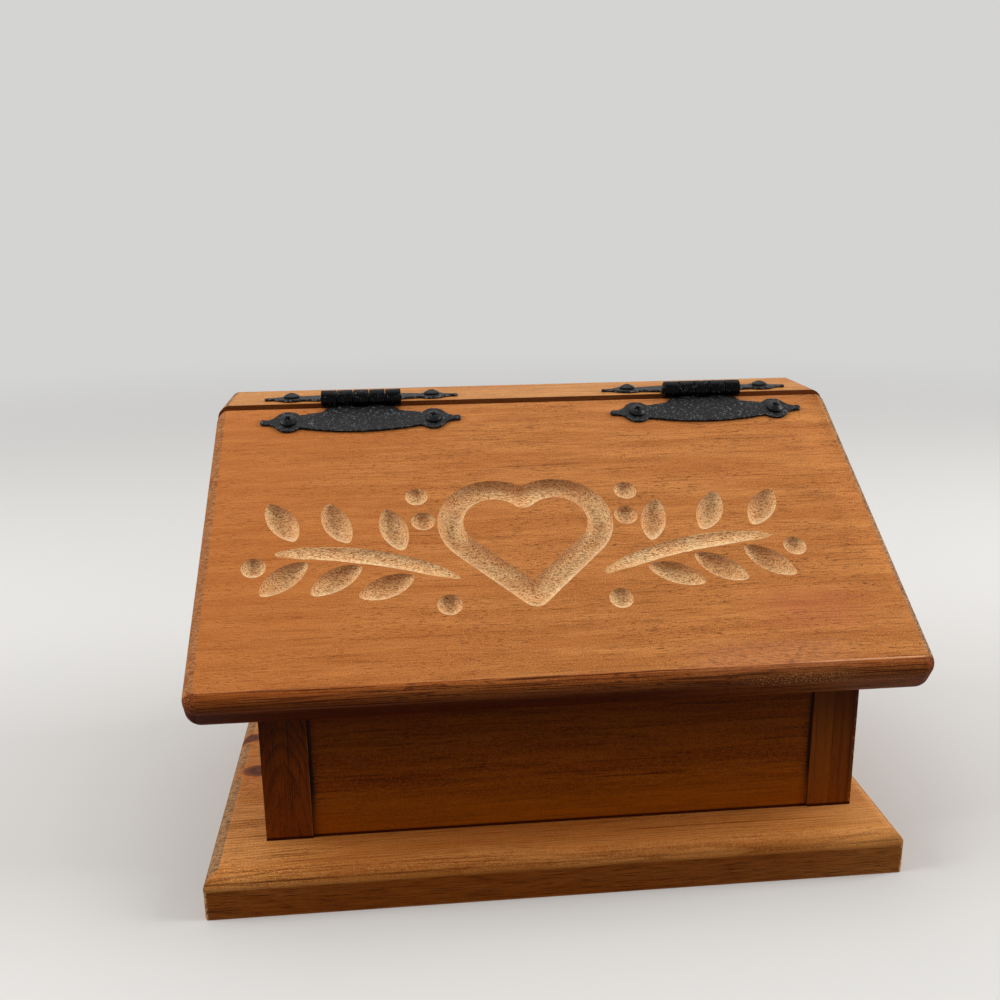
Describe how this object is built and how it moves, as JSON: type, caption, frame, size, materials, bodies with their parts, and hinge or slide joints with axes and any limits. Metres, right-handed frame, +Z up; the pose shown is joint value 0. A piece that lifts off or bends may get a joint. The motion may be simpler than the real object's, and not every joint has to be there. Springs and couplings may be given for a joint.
{
  "type": "recipe card box",
  "caption": "Slant-top wooden box for recipe cards, with a thick sloping lid that swings up on two black surface hinges.",
  "frame": {"origin": "bottom centre of the bounding box, on the underside of the base, midway between the two sides", "axes": "+X to the box's right as seen from the front, +Y from the front to the back, +Z up"},
  "size_m": [0.286, 0.195, 0.1748],
  "materials": {
    "stained_pine": "honey stain with a satin varnish",
    "shaded_pine": "honey stain with a satin varnish",
    "black_iron": "hammered black lacquer",
    "black_screw": "smooth black lacquer",
    "steel_screw": "zinc plate"
  },
  "bodies": {
    "box": {"base_board": "stained_pine", "base_screws": "steel_screw", "left_side": "shaded_pine", "right_side": "shaded_pine", "front_panel": "shaded_pine", "back_panel": "shaded_pine", "top_board": "stained_pine", "left_hinge_top_leaf": "black_iron", "right_hinge_top_leaf": "black_iron", "left_hinge_pin": "black_iron", "right_hinge_pin": "black_iron", "top_leaf_screws": "black_screw"},
    "lid": {"lid_board": "stained_pine", "left_hinge_lid_leaf": "black_iron", "right_hinge_lid_leaf": "black_iron", "lid_leaf_screws": "black_screw"}
  },
  "joints": [
    {"name": "lid_hinge", "type": "hinge", "parent": "box", "child": "lid", "pos_m": [0, 0.04176, 0.1708], "axis": [-1, 0, 0], "range_deg": [0, 200]}
  ]
}
